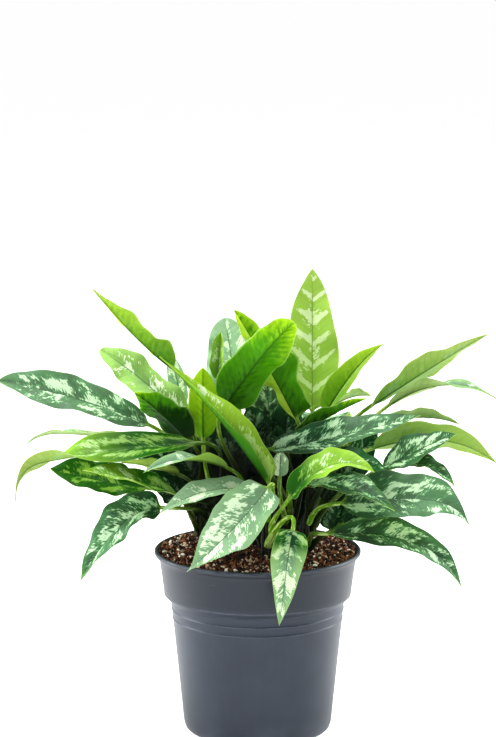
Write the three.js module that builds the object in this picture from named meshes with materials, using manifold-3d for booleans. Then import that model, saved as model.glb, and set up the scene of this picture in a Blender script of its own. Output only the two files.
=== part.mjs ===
// Chinese evergreen in a nursery pot: a moulded pot, its potting mix, nine short canes and forty-eight leaves.
// Millimetres, +Z up. The origin is the centre of the pot's base, and -Y is the side the plant is looked at from.
import * as THREE from 'three';
import { mergeVertices } from 'three/addons/utils/BufferGeometryUtils.js';
import Module from 'manifold-3d';

const wasm = await Module();
wasm.setup();

// ---- driving dimensions ----
const POT_HEIGHT = 170;
const RIM_RADIUS = 95;
const COLLAR_TOP_RADIUS = 90.6;
const COLLAR_FOOT_RADIUS = 86.5;
const COLLAR_FOOT_HEIGHT = 129;
const STEP_RADIUS = 81.6;
const STEP_HEIGHT = 123.5;
const WALL_TOP_RADIUS = 80;
const WALL_TOP_DROP = 1.5;
const COLLAR_ROUNDING = [1.2, 1.6];
const BASE_RADIUS = 60;
const FOOT_RADIUS = 68.6;
const FOOT_HEIGHT = 10;
const LIP_HEIGHT = 7.5;
const RIM_BAND = [3.6, 1.2];
const RIM_FLARE = 1.6;
const RIM_TOP_WIDTH = 1.8;
const WALL = 1.8;
const FLOOR = 3;
const POT_SIDES = 36;

const RIDGE_HEIGHTS = [106.5, 115];
const RIDGE_DEPTH = 0.5;
const RIDGE_REACH = 1.4;

const DRAIN_RADIUS = 4.5;
const DRAIN_SIDES = 8;
const DRAIN_COUNT = 8;
const DRAIN_RING = 42;

const SEAT_GAP = 0.3;
const WALL_GAP = 0.4;
const SOIL_EDGE_HEIGHT = 168.5;
const SOIL_EDGE_RADIUS = 90;
const SOIL_WALL_HEIGHT = 167;
const SOIL_MOUND = 5;
const SOIL_RELIEF = 1.2;
const SOIL_RINGS = [76, 60, 43, 24];
const LUMP_COUNT = 28;

const CANE_RADIUS = 5.5;
const CANE_DATUM = 162;
const CANE_DEPTH = 30;
const CANE_SIDES = 8;

const PETIOLE_FOOT_RADIUS = 2.4;
const PETIOLE_RADIUS = 1.7;
const PETIOLE_SEAT = 2.2;
const PETIOLE_STEPS = 4;
const BLADE_THICKNESS = 0.8;
const MIDRIB_DEPTH = 1.9;
const BLADE_STATIONS = [0.05, 0.16, 0.29, 0.42, 0.56, 0.7, 0.83, 0.94, 1];
const LEAN_LOW = 0.7;
const LEAN_HIGH = 0.3;
const LEAN_SPAN = 66;
const TWIST_START = 0.25;
const TWIST_END = 0.8;
const HOOK_START = 0.6;
const TIP_HALF_WIDTH = 0.7;

// Each cane: where it stands in the soil and how high its top is above the canes' datum, which lies a little under
// the soil's top.
const CANES = {
  a: { at: [-54, 44], top: 46 },
  b: { at: [-32, 20], top: 66 },
  c: { at: [-6, 2], top: 62 },
  d: { at: [8, -40], top: 48 },
  e: { at: [44, -18], top: 46 },
  f: { at: [28, 4], top: 58 },
  g: { at: [20, 34], top: 66 },
  h: { at: [50, 50], top: 60 },
  i: { at: [-8, 60], top: 52 },
};

// Each leaf: its cane, its foot's height above the canes' datum, the blade's base and tip, the midrib's bow as a
// share of the blade's length and where along the blade it lies, the way the upper face looks, how far it twists
// towards the tip in degrees, its width, the angle each half is folded up by, how drawn out the tip is, where the
// blade is widest, how slowly it widens from its base, how waved its margins are and how far its tip hooks down,
// both as shares.
const LEAVES = [
  ['a', 30, [-99, 20, 281], [-236, -10, 328], 0.07, 0.5, [0, -65, 76], 0, 42, 14, 0.85, 0.62, 0.55, 0.05, 0],
  ['b', 56, [-77, 20, 334], [-147, -30, 415], -0.07, 0.5, [40, 62, 75], 0, 32, 30, 1.1, 0.28, 0.85, 0.09, 0],
  ['a', 46, [-66, 48, 278], [-146, 46, 347], 0.1, 0.5, [10, -75, 66], 0, 35, 10, 0.45, 0.4, 0.5, 0.1, 0],
  ['a', 44, [-62, 0, 271], [-111, -24, 320], 0.08, 0.5, [20, 80, 50], 0, 38, 14, 0.9, 0.4, 0.45, 0.08, 0],
  ['b', 28, [-53, -22, 273], [-217, -64, 228], 0.24, 1, [0, -50, 85], 100, 40, 12, 2.1, 0.3, 0.45, 0.05, 0.13],
  ['a', 20, [-86, 52, 259], [-213, 20, 264], 0.12, 0.8, [0, 20, 98], 0, 25, 10, 1.2, 0.4, 0.5, 0.05, 0.06],
  ['a', 16, [-100, -12, 229], [-188, -26, 250], -0.04, 0.5, [-10, -50, 85], 0, 46, 14, 0.9, 0.52, 0.7, 0.05, 0],
  ['d', 30, [-72, -36, 228], [-155, -78, 260], 0.06, 0.5, [0, -35, 93], 0, 34, 16, 1.1, 0.4, 0.7, 0.05, 0],
  ['b', 20, [-72, 14, 236], [-125, 4, 250], 0.1, 0.5, [0, 55, 83], 0, 22, 12, 1.1, 0.4, 0.5, 0.05, 0],
  ['c', 40, [-27, -36, 253], [-101, -79, 258], 0.24, 0.5, [0, 40, 90], -60, 19, 24, 1.1, 0.4, 0.5, 0.05, 0],
  ['c', 16, [-87, -44, 218], [-159, -62, 155], 0.36, 0.5, [-40, -60, 60], 0, 43, 22, 1, 0.4, 0.5, 0.08, 0],
  ['d', 44, [10, -62, 241], [-62, -112, 176], -0.08, 0.5, [-12, -78, 58], 0, 51, 16, 1.6, 0.36, 0.3, 0.07, 0],
  ['d', 46, [-5, -38, 233], [-87, -78, 221], 0.2, 0.5, [0, -45, 90], 0, 29, 14, 1.1, 0.4, 0.5, 0.05, 0],
  ['d', 20, [31, -97, 210], [19, -114, 127], 0.1, 0.3, [0, -100, 20], 0, 31, 12, 1, 0.36, 0.25, 0.05, 0],
  ['h', 58, [51, 62, 286], [51, 82, 418], 0.03, 0.5, [0, -95, 30], 0, 48, 10, 0.85, 0.38, 0.5, 0.07, 0],
  ['c', 60, [-31, -6, 302], [32, -50, 388], 0.08, 0.6, [20, 85, 45], 0, 43, 14, 0.5, 0.22, 0.42, 0.1, 0],
  ['g', 54, [36, 14, 288], [-21, 4, 391], 0.06, 0.5, [48, 72, 40], 0, 48, 20, 0.9, 0.25, 0.35, 0.12, 0],
  ['b', 62, [-17, 42, 291], [-31, 80, 372], 0.05, 0.5, [0, -95, 30], 0, 49, 10, 0.6, 0.4, 0.5, 0.05, 0],
  ['b', 66, [-37, 31, 322], [-34, 30, 366], 0.02, 0.5, [-20, -95, 10], 0, 24, 58, 0.6, 0.4, 0.5, 0.05, 0],
  ['c', 50, [11, -45, 239], [-88, -25, 353], 0.1, 0.5, [60, -45, 60], 0, 38, 48, 2.0, 0.22, 0.5, 0.05, 0],
  ['b', 40, [-50, 10, 270], [-50, -4, 339], 0.04, 0.5, [0, 90, 40], 0, 30, 16, 0.8, 0.4, 0.5, 0.05, 0],
  ['i', 50, [-70, 62, 292], [-82, 78, 336], 0.05, 0.5, [0, -90, 30], 0, 17, 12, 0.55, 0.4, 0.5, 0.05, 0],
  ['g', 57, [12, 59, 264], [6, 72, 341], 0.05, 0.5, [0, -95, 25], 0, 44, 12, 0.9, 0.4, 0.5, 0.05, 0],
  ['g', 66, [62, 34, 290], [114, 4, 360], 0.17, 0.5, [-30, 80, 50], 0, 28, 22, 1.25, 0.28, 0.5, 0.03, 0],
  ['f', 56, [34, 2, 276], [98, -8, 312], 0.06, 0.5, [-20, 50, 85], 0, 26, 16, 1.1, 0.4, 0.5, 0.05, 0],
  ['g', 34, [70, 58, 294], [106, 73, 300], 0.2, 0.5, [0, 50, 85], 0, 24, 12, 1.1, 0.4, 0.5, 0.05, 0],
  ['h', 58, [104, 22, 299], [207, -15, 372], 0.03, 0.5, [-30, 75, 60], 0, 31, 14, 1.2, 0.4, 1.2, 0.08, 0],
  ['h', 40, [120, 42, 295], [220, 24, 306], 0.34, 0.5, [0, 60, 80], 60, 26, 10, 2.0, 0.4, 0.8, 0.05, 0],
  ['f', 50, [11, -26, 268], [145, -54, 305], -0.03, 0.5, [0, -50, 85], 0, 42, 12, 1.1, 0.4, 0.5, 0.05, 0],
  ['f', 46, [118, 14, 285], [184, 6, 286], 0.2, 0.5, [0, 45, 90], 0, 30, 12, 1.1, 0.4, 0.5, 0.05, 0],
  ['e', 46, [105, 8, 262], [218, -16, 253], 0.24, 0.5, [0, 80, 60], 0, 40, 14, 1.2, 0.4, 0.7, 0.05, 0.06],
  ['e', 28, [113, -16, 249], [180, -32, 284], 0.04, 0.5, [0, -55, 83], 0, 36, 12, 1.3, 0.4, 0.7, 0.05, 0],
  ['h', 24, [129, 3, 247], [180, -11, 231], 0.35, 0.5, [30, -30, 90], 0, 30, 16, 1.1, 0.4, 0.5, 0.05, 0],
  ['e', 36, [74, -48, 223], [189, -78, 209], 0.23, 0.75, [0, -62, 78], 0, 58, 12, 1.7, 0.33, 0.6, 0.05, 0.1],
  ['f', 40, [43, -56, 242], [121, -96, 227], 0.2, 0.5, [0, -35, 93], 0, 34, 14, 1.1, 0.4, 0.7, 0.05, 0.04],
  ['e', 16, [63, -60, 198], [182, -85, 154], 0.33, 0.75, [0, -50, 87], 0, 37, 14, 1.35, 0.38, 0.6, 0.05, 0.07],
  ['d', 33, [28, -66, 231], [103, -92, 261], 0.43, 0.45, [0, -50, 80], 0, 34, 20, 1.1, 0.4, 0.5, 0.07, 0.03],
  ['f', 27, [62, -20, 256], [121, -30, 240], 0.3, 0.5, [0, -35, 90], 0, 30, 12, 1.1, 0.4, 0.5, 0.05, 0],
  ['h', 30, [62, 8, 226], [90, 10, 236], 0.1, 0.5, [0, -40, 90], 0, 22, 12, 1.1, 0.4, 0.5, 0.05, 0],
  ['f', 30, [20, -13, 240], [21, -9, 263], 0.05, 0.5, [0, -90, 30], 0, 17, 20, 0.8, 0.4, 0.4, 0.05, 0],
  ['i', 30, [-35, 95, 255], [-90, 205, 235], 0.2, 0.6, [0, 0, 100], 0, 50, 12, 1.1, 0.4, 0.5, 0.05, 0],
  ['i', 40, [0, 100, 275], [5, 220, 245], 0.2, 0.6, [10, 0, 100], 0, 54, 12, 1.1, 0.4, 0.5, 0.05, 0],
  ['g', 44, [40, 95, 262], [90, 205, 240], 0.2, 0.6, [0, 0, 100], 0, 50, 12, 1.1, 0.4, 0.5, 0.05, 0],
  ['i', 12, [-70, 82, 235], [-130, 165, 225], 0.2, 0.6, [0, 10, 100], 0, 46, 12, 1.1, 0.4, 0.5, 0.05, 0],
  ['h', 22, [82, 80, 240], [155, 160, 225], 0.2, 0.6, [0, 10, 100], 0, 46, 12, 1.1, 0.4, 0.5, 0.05, 0],
  ['i', 16, [-15, 90, 215], [-40, 190, 165], 0.25, 0.6, [0, 20, 90], 0, 52, 12, 1, 0.4, 0.5, 0.05, 0],
  ['g', 28, [55, 88, 215], [85, 180, 170], 0.25, 0.6, [0, 20, 90], 0, 52, 12, 1, 0.4, 0.5, 0.05, 0],
  ['i', 51, [20, 84, 300], [24, 132, 333], 0.1, 0.5, [0, -60, 80], 0, 40, 12, 1, 0.4, 0.5, 0.05, 0],
];

// ---- materials ----
const material = (color, roughness) => new THREE.MeshStandardMaterial({ color, roughness, metalness: 0 });
const potPlastic = material(0x464b57, 0.55);
const soilMix = material(0x3a2418, 0.95);
const caneSkin = material(0x6f8a4a, 0.6);
const leafSkin = material(0x3f8a44, 0.45);

// ---- solids ----
function toSolid(geometry) {
  const bare = new THREE.BufferGeometry();
  bare.setAttribute('position', geometry.getAttribute('position'));
  if (geometry.index) bare.setIndex(geometry.index);
  const merged = mergeVertices(bare, 1e-4);
  const mesh = new wasm.Mesh({
    numProp: 3,
    vertProperties: new Float32Array(merged.attributes.position.array),
    triVerts: new Uint32Array(merged.index.array),
  });
  return new wasm.Manifold(mesh);
}

function fromSolid(solid) {
  const mesh = solid.getMesh();
  const geometry = new THREE.BufferGeometry();
  geometry.setAttribute('position', new THREE.BufferAttribute(mesh.vertProperties, 3));
  geometry.setIndex(new THREE.BufferAttribute(mesh.triVerts, 1));
  return geometry;
}

// An upright turned solid from [radius, height] pairs that start and end on the axis.
function turned(profile, sides) {
  const points = profile.map(([radius, height]) => new THREE.Vector2(radius, height));
  return new THREE.LatheGeometry(points, sides).rotateX(Math.PI / 2);
}

function uprightRod(radius, from, to, x, y, sides) {
  return new THREE.CylinderGeometry(radius, radius, to - from, sides)
    .rotateX(Math.PI / 2)
    .translate(x, y, (from + to) / 2);
}

// ---- seeded draw, for the soil's lumps ----
function draws(seed) {
  let state = seed;
  return () => {
    state = (state * 1103515245 + 12345) % 2147483648;
    return state / 2147483648;
  };
}

// ---- pot ----
// The tapered wall's outer radius at a height between the foot and the step.
function wallRadius(height) {
  const share = (height - FOOT_HEIGHT) / (STEP_HEIGHT - WALL_TOP_DROP - FOOT_HEIGHT);
  return THREE.MathUtils.lerp(FOOT_RADIUS, WALL_TOP_RADIUS, share);
}

function ridgeProfile(height) {
  return [
    [wallRadius(height - RIDGE_REACH), height - RIDGE_REACH],
    [wallRadius(height) + RIDGE_DEPTH, height],
    [wallRadius(height + RIDGE_REACH), height + RIDGE_REACH],
  ];
}

// The cavity's profile from the lip down to the middle of the floor, drawn in by a gap for what fills it.
function innerWall(gap) {
  return [
    [COLLAR_TOP_RADIUS - WALL - gap, POT_HEIGHT - LIP_HEIGHT + 1],
    [COLLAR_FOOT_RADIUS - WALL - gap, COLLAR_FOOT_HEIGHT + 1],
    [STEP_RADIUS - WALL - gap, STEP_HEIGHT + 1],
    [WALL_TOP_RADIUS - WALL - gap, STEP_HEIGHT - 3],
    [FOOT_RADIUS - WALL - gap, FOOT_HEIGHT],
    [BASE_RADIUS + 3 - gap, FLOOR + gap],
    [0, FLOOR + gap],
  ];
}

function potProfile() {
  const outside = [
    [0, 0],
    [BASE_RADIUS, 0],
    [BASE_RADIUS + 6, 1.8],
    [FOOT_RADIUS - 1.2, FOOT_HEIGHT / 2],
    [FOOT_RADIUS, FOOT_HEIGHT],
    ...RIDGE_HEIGHTS.flatMap(ridgeProfile),
    [WALL_TOP_RADIUS, STEP_HEIGHT - WALL_TOP_DROP],
    [STEP_RADIUS, STEP_HEIGHT],
    [COLLAR_FOOT_RADIUS - COLLAR_ROUNDING[0], COLLAR_FOOT_HEIGHT - COLLAR_ROUNDING[1]],
    [COLLAR_FOOT_RADIUS, COLLAR_FOOT_HEIGHT],
    [COLLAR_TOP_RADIUS, POT_HEIGHT - LIP_HEIGHT],
    [RIM_RADIUS - RIM_FLARE, POT_HEIGHT - 0.7 * LIP_HEIGHT],
    [RIM_RADIUS, POT_HEIGHT - RIM_BAND[0]],
    [RIM_RADIUS, POT_HEIGHT - RIM_BAND[1]],
    [RIM_RADIUS - RIM_BAND[1], POT_HEIGHT],
  ];
  const inside = [
    [RIM_RADIUS - RIM_BAND[1] - RIM_TOP_WIDTH, POT_HEIGHT],
    ...innerWall(0),
  ];
  return [...outside, ...inside];
}

function makePot() {
  let solid = toSolid(turned(potProfile(), POT_SIDES));
  for (let hole = 0; hole < DRAIN_COUNT; hole += 1) {
    const angle = ((hole + 0.5) / DRAIN_COUNT) * Math.PI * 2;
    const [x, y] = [DRAIN_RING * Math.cos(angle), DRAIN_RING * Math.sin(angle)];
    solid = solid.subtract(toSolid(uprightRod(DRAIN_RADIUS, -1, FLOOR + 1, x, y, DRAIN_SIDES)));
  }
  return fromSolid(solid);
}

// ---- soil ----
function soilTop(x, y) {
  const share = Math.hypot(x, y) / COLLAR_TOP_RADIUS;
  const mound = SOIL_MOUND * (1 - share * share);
  const relief = Math.sin(x * 0.19 + 1.3) * Math.cos(y * 0.23 - 0.4) + 0.6 * Math.sin(x * 0.41 - y * 0.37);
  return SOIL_EDGE_HEIGHT + mound + SOIL_RELIEF * relief * (1 - share ** 6);
}

function makeSoilBody() {
  const profile = [
    ...innerWall(WALL_GAP).reverse(),
    [SOIL_EDGE_RADIUS, SOIL_WALL_HEIGHT],
    ...SOIL_RINGS.map((radius) => [radius, POT_HEIGHT]),
    [0, POT_HEIGHT],
  ];
  const geometry = turned(profile, POT_SIDES);
  const position = geometry.getAttribute('position');
  for (let n = 0; n < position.count; n += 1) {
    if (position.getZ(n) > POT_HEIGHT - 0.5) {
      position.setZ(n, soilTop(position.getX(n), position.getY(n)));
    }
  }
  return toSolid(geometry);
}

function makeSoilLumps() {
  const draw = draws(7);
  const lumps = [];
  while (lumps.length < LUMP_COUNT) {
    const angle = draw() * Math.PI * 2;
    const ring = 80 * Math.sqrt(draw());
    const [x, y] = [ring * Math.cos(angle), ring * Math.sin(angle)];
    const size = 2 + 2.2 * draw();
    const turn = draw() * Math.PI;
    const clear = Object.values(CANES).every(({ at }) => Math.hypot(x - at[0], y - at[1]) > CANE_RADIUS + 6);
    if (clear) {
      lumps.push(toSolid(
        new THREE.OctahedronGeometry(size)
          .scale(1.5, 1, 0.7)
          .rotateZ(turn)
          .translate(x, y, soilTop(x, y)),
      ));
    }
  }
  return lumps;
}

function makeSoil() {
  let solid = makeSoilBody();
  for (const lump of makeSoilLumps()) solid = solid.add(lump);
  for (const { at: [x, y] } of Object.values(CANES)) {
    const from = CANE_DATUM - CANE_DEPTH - SEAT_GAP;
    solid = solid.subtract(toSolid(uprightRod(CANE_RADIUS + SEAT_GAP, from, POT_HEIGHT + 8, x, y, CANE_SIDES)));
  }
  return fromSolid(solid);
}

// ---- leaves ----
const UP = new THREE.Vector3(0, 0, 1);

function caneFoot(cane, height) {
  const { at } = CANES[cane];
  return new THREE.Vector3(at[0], at[1], CANE_DATUM + height);
}

function hooked(along) {
  return Math.max((along - HOOK_START) / (1 - HOOK_START), 0);
}

// The midrib's curve and the petiole's curve of a leaf.
function leafCurves({ cane, height, base, tip, arch, bend, hook }) {
  const axis = caneFoot(cane, height);
  const outward = new THREE.Vector3(base.x - axis.x, base.y - axis.y, 0).normalize();
  const chord = tip.clone().sub(base);
  const control = base.clone()
    .addScaledVector(chord, bend)
    .addScaledVector(UP, arch * chord.length());
  const drop = UP.clone().multiplyScalar(hook * chord.length());
  const straight = new THREE.QuadraticBezierCurve3(base, control, tip.clone().add(drop));
  const midrib = {
    getPoint: (along) => straight.getPoint(along).addScaledVector(drop, -(hooked(along) ** 2)),
    getTangent: (along) => {
      const way = control.clone().sub(base).multiplyScalar(2 * (1 - along));
      way.addScaledVector(straight.v2.clone().sub(control), 2 * along);
      return way.addScaledVector(drop, (-2 * hooked(along)) / (1 - HOOK_START)).normalize();
    },
  };
  const foot = axis.clone().addScaledVector(outward, CANE_RADIUS - PETIOLE_SEAT);
  const reach = base.distanceTo(foot) * 0.4;
  const lean = THREE.MathUtils.lerp(LEAN_LOW, LEAN_HIGH, height / LEAN_SPAN);
  const leave = outward.clone().multiplyScalar(lean).add(UP).normalize();
  const arrive = control.clone().sub(base).normalize();
  const petiole = new THREE.CubicBezierCurve3(
    foot,
    foot.clone().addScaledVector(leave, reach),
    base.clone().addScaledVector(arrive, -reach),
    base,
  );
  return { midrib, petiole };
}

// How wide the blade is at a place along it, as a share of its full width.
function widthShare(along, { widest, blunt, taper }) {
  if (along < widest) return (1 - (1 - along / widest) ** 2.2) ** blunt;
  const past = (along - widest) / (1 - widest);
  return (1 - past * past) ** taper;
}

// Six points around the leaf's section: along the upper side from left to right, then back along the lower side.
function petioleSection(radius) {
  return [150, 90, 30, -30, -90, -150].map((degrees) => {
    const angle = THREE.MathUtils.degToRad(degrees);
    return [radius * Math.cos(angle), radius * Math.sin(angle)];
  });
}

function bladeSection(along, leaf) {
  const { width, fold, wave } = leaf;
  const share = widthShare(along, leaf);
  const half = Math.max((width / 2) * share, TIP_HALF_WIDTH);
  const angle = THREE.MathUtils.degToRad(fold);
  const rise = half * Math.sin(angle);
  const ripple = (side) => wave * share * Math.sin(along * 13 + side * 1.9 + width);
  const thickness = BLADE_THICKNESS / Math.cos(angle);
  const left = [-half * Math.cos(angle), rise + ripple(-1)];
  const right = [half * Math.cos(angle), rise + ripple(1)];
  const keel = Math.max(MIDRIB_DEPTH * (1 - 0.6 * along), thickness);
  return [left, [0, 0], right, [right[0], right[1] - thickness], [0, -keel], [left[0], left[1] - thickness]];
}

// Rings of points from the petiole's foot to the blade's tip.
function leafRings(leaf, extra) {
  const { midrib, petiole } = leafCurves(leaf);
  const sides = BLADE_STATIONS.map((along) => {
    const tangent = midrib.getTangent(along);
    const turn = THREE.MathUtils.degToRad(leaf.twist * THREE.MathUtils.smoothstep(along, TWIST_START, TWIST_END));
    return tangent.clone().cross(leaf.face).normalize().applyAxisAngle(tangent, turn);
  });
  const rings = [];
  let side = midrib.getTangent(0).cross(leaf.face).normalize();
  for (let step = PETIOLE_STEPS; step >= 0; step -= 1) {
    const along = step / PETIOLE_STEPS;
    const tangent = petiole.getTangent(along);
    side = side.clone().addScaledVector(tangent, -side.dot(tangent)).normalize();
    const radius = THREE.MathUtils.lerp(PETIOLE_FOOT_RADIUS, PETIOLE_RADIUS, Math.min(along * 1.6, 1)) + extra;
    rings.unshift(ringAt(petiole.getPoint(along), tangent, side, petioleSection(radius)));
  }
  BLADE_STATIONS.forEach((along, n) => {
    rings.push(ringAt(midrib.getPoint(along), midrib.getTangent(along), sides[n], bladeSection(along, leaf)));
  });
  return rings;
}

function ringAt(centre, tangent, side, section) {
  const upper = side.clone().cross(tangent).normalize();
  return section.map(([across, up]) => centre.clone().addScaledVector(side, across).addScaledVector(upper, up));
}

// A closed solid through six-point rings. The upper and lower halves are split alike, so a waved blade keeps its
// thickness.
function loft(rings) {
  const vertices = rings.flat();
  const index = [];
  const MIRROR = [[0, 5], [1, 4], [2, 3]];
  for (let ring = 0; ring + 1 < rings.length; ring += 1) {
    const [low, high] = [ring * 6, ring * 6 + 6];
    for (let half = 0; half < 2; half += 1) {
      const [[a, d], [b, c]] = [MIRROR[half], MIRROR[half + 1]];
      index.push(low + a, low + b, high + a, low + b, high + b, high + a);
      index.push(low + d, high + d, low + c, low + c, high + d, high + c);
    }
    index.push(low + 2, low + 3, high + 2, low + 3, high + 3, high + 2);
    index.push(low + 5, low, high + 5, low, high, high + 5);
  }
  const last = (rings.length - 1) * 6;
  index.push(0, 5, 1, 1, 5, 4, 1, 4, 2, 2, 4, 3);
  index.push(last, last + 1, last + 5, last + 1, last + 4, last + 5);
  index.push(last + 1, last + 2, last + 4, last + 2, last + 3, last + 4);
  const geometry = new THREE.BufferGeometry();
  geometry.setAttribute('position', new THREE.Float32BufferAttribute(vertices.flatMap((v) => v.toArray()), 3));
  geometry.setIndex(index);
  return geometry;
}

function namedLeaf(row) {
  const [cane, height, base, tip, arch, bend, face, twist, width, fold, taper, widest, blunt, wave, hook] = row;
  return {
    cane,
    height,
    base: new THREE.Vector3(...base),
    tip: new THREE.Vector3(...tip),
    arch,
    bend,
    face: new THREE.Vector3(...face),
    twist,
    width,
    fold,
    taper,
    widest,
    blunt,
    wave: width * wave,
    hook,
  };
}

// ---- canes, with a socket for the foot of each of their leaves ----
function makeCane(name, leaves) {
  const { at: [x, y], top } = CANES[name];
  const from = CANE_DATUM - CANE_DEPTH;
  let solid = toSolid(uprightRod(CANE_RADIUS, from, CANE_DATUM + top, x, y, CANE_SIDES));
  for (const leaf of leaves.filter(({ cane }) => cane === name)) {
    const rings = leafRings(leaf, SEAT_GAP * 1.5).slice(0, 4);
    const drop = rings[0][0].clone().sub(rings[1][0]).normalize().multiplyScalar(SEAT_GAP * 1.5);
    rings[0] = rings[0].map((point) => point.clone().add(drop));
    solid = solid.subtract(toSolid(loft(rings)));
  }
  const pieces = solid.decompose();
  pieces.sort((one, other) => other.volume() - one.volume());
  return fromSolid(pieces[0]);
}

// ---- the plant in its pot ----
const plant = new THREE.Group();

function add(name, geometry, skin) {
  const mesh = new THREE.Mesh(geometry, skin);
  mesh.name = name;
  plant.add(mesh);
}

const leaves = LEAVES.map(namedLeaf);

add('pot', makePot(), potPlastic);
add('soil', makeSoil(), soilMix);
Object.keys(CANES).forEach((name) => add(`cane_${name}`, makeCane(name, leaves), caneSkin));
leaves.forEach((leaf, n) => {
  add(`leaf_${String(n + 1).padStart(2, '0')}`, loft(leafRings(leaf, 0)), leafSkin);
});

export default plant;
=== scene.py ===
import bpy
import bmesh
import math
import random
from types import SimpleNamespace as Named
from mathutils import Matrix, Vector


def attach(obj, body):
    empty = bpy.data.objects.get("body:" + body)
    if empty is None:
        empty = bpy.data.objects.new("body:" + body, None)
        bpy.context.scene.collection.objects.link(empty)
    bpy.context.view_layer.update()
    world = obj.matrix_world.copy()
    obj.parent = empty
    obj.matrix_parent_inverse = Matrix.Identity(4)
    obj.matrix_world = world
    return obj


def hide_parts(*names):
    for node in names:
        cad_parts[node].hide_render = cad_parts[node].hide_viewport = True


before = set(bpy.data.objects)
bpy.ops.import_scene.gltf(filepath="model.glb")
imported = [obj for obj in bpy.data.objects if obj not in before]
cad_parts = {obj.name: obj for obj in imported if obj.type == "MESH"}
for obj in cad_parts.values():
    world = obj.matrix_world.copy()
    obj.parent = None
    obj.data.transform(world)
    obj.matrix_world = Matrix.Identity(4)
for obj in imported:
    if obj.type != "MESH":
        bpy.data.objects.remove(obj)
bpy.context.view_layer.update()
mm = 0.001
white = (1.0, 1.0, 1.0, 1.0)


def rgb(red, green, blue):
    # a colour as a screen shows it, 0 to 255, turned into the linear one that the sockets want
    shares = [part / 255 for part in (red, green, blue)]
    return (*[s / 12.92 if s <= 0.04045 else ((s + 0.055) / 1.055) ** 2.4 for s in shares], 1.0)


def isVector(part):
    return part.socket.type in {"VECTOR", "RGBA"} if isinstance(part, Sum) else isinstance(part, (tuple, Vector))


# an output that sums are written with as plain Python, in shader trees and Geometry Nodes alike
class Sum:
    def __init__(self, bench, socket):
        self.bench, self.socket = bench, socket

    def maths(self, operation, *parts):
        vector = any(isVector(part) for part in parts)
        kind = "ShaderNodeVectorMath" if vector else "ShaderNodeMath"
        out = "Vector" if vector and operation != "DOT_PRODUCT" else "Value"
        return self.bench.node(kind, {"operation": operation}, dict(enumerate(parts)), out)

    def __rsub__(self, other):
        return self.maths("SUBTRACT", other, self)

    def __mul__(self, other):
        if isVector(self) and not isVector(other):
            return self.bench.node("ShaderNodeVectorMath", {"operation": "SCALE"}, {0: self, "Scale": other})
        return self.maths("MULTIPLY", self, other)

    def clamped(self):
        return self.most(0.0).least(1.0)

    def smooth(self, start, end):
        return self.bench.node(
            "ShaderNodeMapRange", {"interpolation_type": "SMOOTHSTEP"},
            {"Value": self, "From Min": start, "From Max": end}, "Result")

    def split(self):
        first = self.bench.node("ShaderNodeSeparateXYZ", {}, {0: self}, "X")
        return first, *[Sum(self.bench, first.socket.node.outputs[name]) for name in "YZ"]


def addSum(name, operation):
    setattr(Sum, name, lambda self, *others: self.maths(operation, self, *others))


for sumName, sumOperation in {
    "__add__": "ADD", "__radd__": "ADD", "__sub__": "SUBTRACT", "__truediv__": "DIVIDE", "__pow__": "POWER",
    "__gt__": "GREATER_THAN", "__lt__": "LESS_THAN", "__abs__": "ABSOLUTE", "sin": "SINE", "cos": "COSINE",
    "sqrt": "SQRT", "floor": "FLOOR", "least": "MINIMUM", "most": "MAXIMUM", "unit": "NORMALIZE",
    "cross": "CROSS_PRODUCT", "dot": "DOT_PRODUCT",
}.items():
    addSum(sumName, sumOperation)


class Bench:
    def __init__(self, tree):
        self.tree = tree

    def node(self, kind, settings=None, sockets=None, out=0):
        made = self.tree.nodes.new(kind)
        for name, value in (settings or {}).items():
            setattr(made, name, value)
        for name, value in (sockets or {}).items():
            if isinstance(value, Sum):
                self.tree.links.new(value.socket, made.inputs[name])
            else:
                made.inputs[name].default_value = value
        return Sum(self, made.outputs[out]) if made.outputs else None

    def join(self, x, y, z):
        return self.node("ShaderNodeCombineXYZ", {}, {0: x, 1: y, 2: z})

    def read(self, name, out="Vector"):
        return self.node("ShaderNodeAttribute", {"attribute_name": name}, {}, out)

    def mark(self, geometry, name, value):
        kind = "FLOAT_VECTOR" if isVector(value) else "FLOAT"
        return self.node("GeometryNodeStoreNamedAttribute", {"data_type": kind, "domain": "POINT"}, {
            "Geometry": geometry, "Name": name, "Value": value})

    def ownPlace(self):
        return self.node("ShaderNodeTexCoord", {}, {}, "Object")

    def coat(self, tone, *coats):
        # lays each colour over the tone by its share, one after the other
        for share, colour in coats:
            tone = self.node("ShaderNodeMix", {"data_type": "RGBA"}, {0: share, 6: tone, 7: colour}, 2)
        return tone

    def stepped(self, share, stops):
        made = self.node("ShaderNodeValToRGB", {}, {0: share}, "Color")
        ramp = made.socket.node.color_ramp
        while len(ramp.elements) < len(stops):
            ramp.elements.new(0.5)
        for element, (place, colour) in zip(ramp.elements, stops):
            element.position, element.color = place, colour
        return made

    def noise(self, place, scale, detail=2.0, roughness=0.55, out="Fac"):
        return self.node("ShaderNodeTexNoise", {}, {
            "Vector": place, "Scale": scale, "Detail": detail, "Roughness": roughness}, out)

    def bump(self, height, distance, strength):
        return self.node("ShaderNodeBump", {}, {"Height": height, "Distance": distance, "Strength": strength}, "Normal")


def newSkin(name):
    skin = bpy.data.materials.new(name)
    skin.use_nodes = True
    skin.node_tree.nodes.clear()
    return skin, Bench(skin.node_tree)


def finishSkin(bench, sockets):
    shader = bench.node("ShaderNodeBsdfPrincipled", {}, sockets, "BSDF")
    bench.node("ShaderNodeOutputMaterial", {}, {"Surface": shader})


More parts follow.
